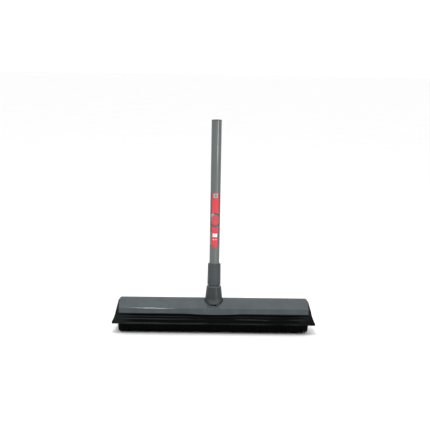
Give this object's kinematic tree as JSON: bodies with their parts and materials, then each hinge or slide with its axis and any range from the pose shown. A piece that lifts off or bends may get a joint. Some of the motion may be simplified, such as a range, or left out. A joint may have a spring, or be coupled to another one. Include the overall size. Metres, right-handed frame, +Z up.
{
  "type": "carpet sweeper",
  "caption": "Rubber-bristle carpet sweeper head with a front squeegee lip, and a tilting round handle section.",
  "frame": {"origin": "on the floor, in the middle of the footprint, straight below the handle's pivot", "axes": "+X along the head, -Y towards the squeegee lip, +Z up along the handle at rest"},
  "size_m": [0.447, 0.082, 0.47],
  "materials": {
    "cover_plastic": "glossy moulded",
    "black_plastic": "fine moulded texture",
    "black_rubber": "soft moulded",
    "yoke_plastic": "satin moulded",
    "socket_plastic": "satin moulded",
    "tube_paint": "satin grey paint",
    "label_film": null,
    "steel": "zinc plated",
    "washer_plastic": "natural nylon"
  },
  "bodies": {
    "root": {"head_cover": "cover_plastic", "brush_carrier": "black_plastic", "end_cap_left": "black_plastic", "end_cap_right": "black_plastic", "squeegee_blade": "black_rubber", "bristle_strip_1": "black_rubber", "bristle_strip_2": "black_rubber", "bristle_strip_3": "black_rubber", "bristle_strip_4": "black_rubber", "bristle_strip_5": "black_rubber", "pivot_bracket": "black_plastic", "cover_screws": "steel", "bracket_screws": "steel", "end_cap_screws": "steel"},
    "handle": {"pivot_yoke": "yoke_plastic", "friction_washer_left": "washer_plastic", "friction_washer_right": "washer_plastic", "pivot_bolt": "steel", "pivot_nut": "steel", "handle_socket": "socket_plastic", "handle_tip": "black_plastic", "handle_tube": "tube_paint", "tube_top_insert": "socket_plastic", "handle_label": "label_film", "socket_screw": "steel"}
  },
  "joints": [
    {"name": "handle_tilt", "type": "hinge", "parent": "root", "child": "handle", "pos_m": [0, 0, 0.0705], "axis": [1, 0, 0], "range_deg": [-45, 45]}
  ]
}
